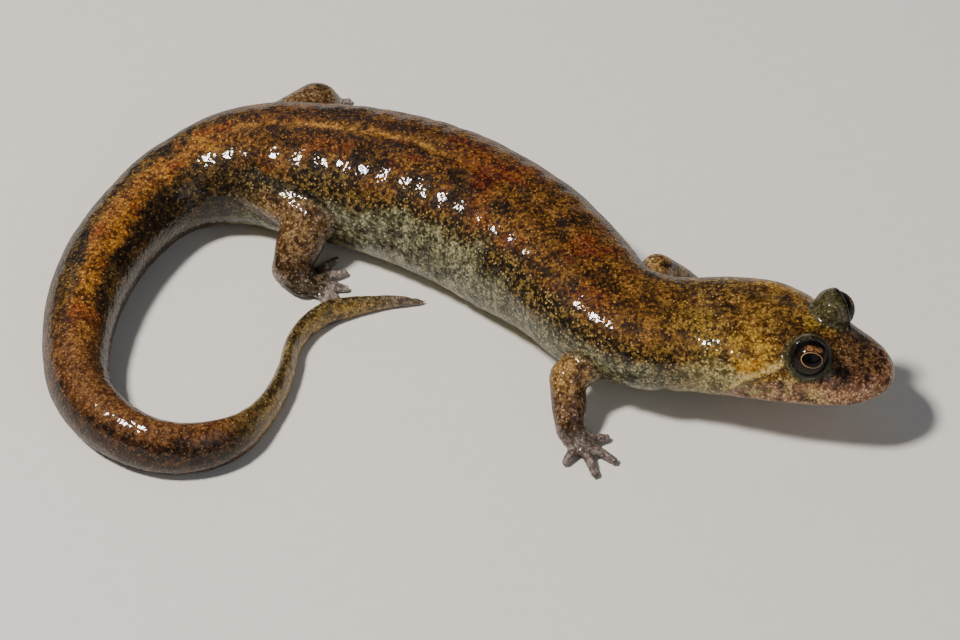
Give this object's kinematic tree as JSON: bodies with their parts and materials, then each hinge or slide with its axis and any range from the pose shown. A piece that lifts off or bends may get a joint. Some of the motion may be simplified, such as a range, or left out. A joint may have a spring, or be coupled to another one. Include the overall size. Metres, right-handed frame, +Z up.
{
  "type": "black mountain salamander",
  "caption": "Life-size black mountain salamander at rest, head raised a little, body bent and the tail curled round beside the hind foot",
  "frame": {"origin": "middle of the bottom of the animal's box, on the floor that it rests on", "axes": "+Z up, +X along the longest side of the box, to the head's end, +Y to the far side from the viewer of the picture"},
  "size_m": [0.0768, 0.0514, 0.0129],
  "materials": {
    "skin": "wet, glossy amphibian skin, dark brown mottled with rust and ochre, paler low on the sides",
    "eye": "wet, dark eye with a copper patch over the pupil"
  },
  "bodies": {
    "root": {"head": "skin", "lower_jaw": "skin", "eye_right": "eye", "eye_left": "eye", "neck": "skin", "chest": "skin", "abdomen": "skin", "pelvis": "skin", "tail_1": "skin", "tail_2": "skin", "tail_3": "skin", "tail_4": "skin", "tail_5": "skin", "tail_6": "skin", "tail_7": "skin", "upper_arm_right": "skin", "forearm_right": "skin", "hand_right": "skin", "upper_arm_left": "skin", "forearm_left": "skin", "hand_left": "skin", "thigh_right": "skin", "shank_right": "skin", "foot_right": "skin", "thigh_left": "skin", "shank_left": "skin", "foot_left": "skin"}
  },
  "joints": []
}
